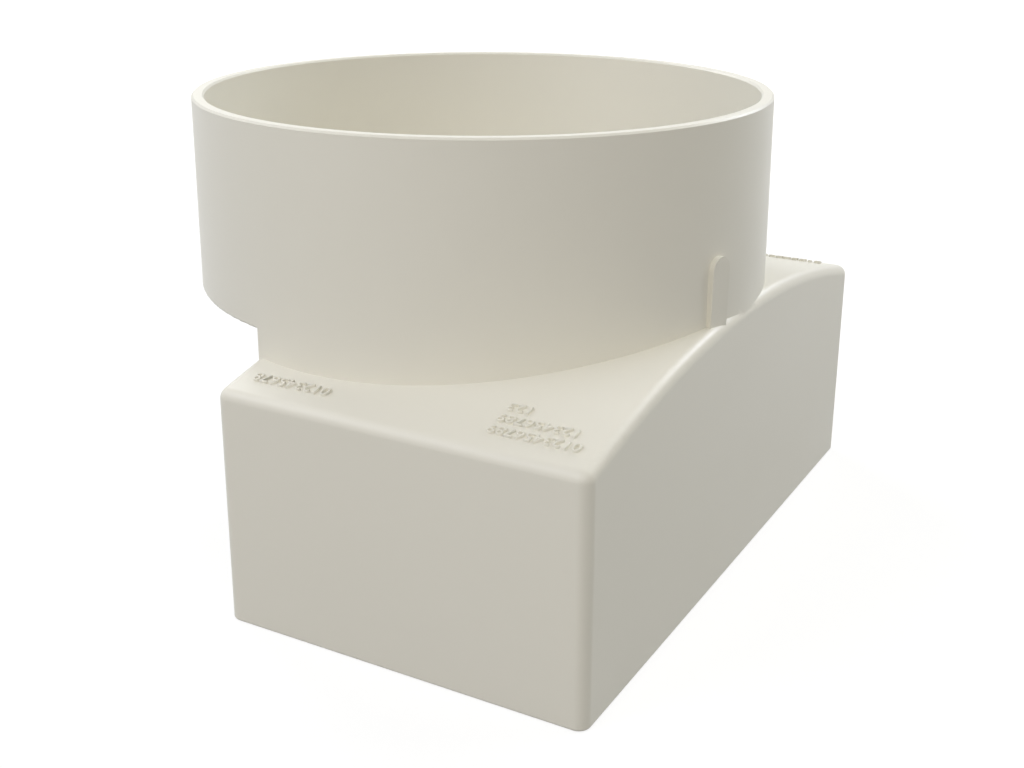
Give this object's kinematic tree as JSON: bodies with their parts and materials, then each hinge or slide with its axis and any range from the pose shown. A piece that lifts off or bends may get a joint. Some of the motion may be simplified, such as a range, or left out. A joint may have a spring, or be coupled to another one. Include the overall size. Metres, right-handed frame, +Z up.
{
  "type": "downspout adapter",
  "caption": "One-piece moulded adapter with a round pipe socket on top, set over a rectangular downpipe socket that opens downwards.",
  "frame": {"origin": "on the round socket's axis, in the plane of the rectangular socket's rim that the part stands on; that is within half a millimetre of the middle of the bounding box's underside", "axes": "+Z up out of the round socket's mouth, X across the narrow side of the rectangle with the round socket overhanging on -X, Y along its long side"},
  "size_m": [0.0963, 0.1126, 0.0755],
  "materials": {
    "pvc": "satin injection-moulded PVC, warm off-white"
  },
  "bodies": {
    "root": {"adapter": "pvc"}
  },
  "joints": []
}
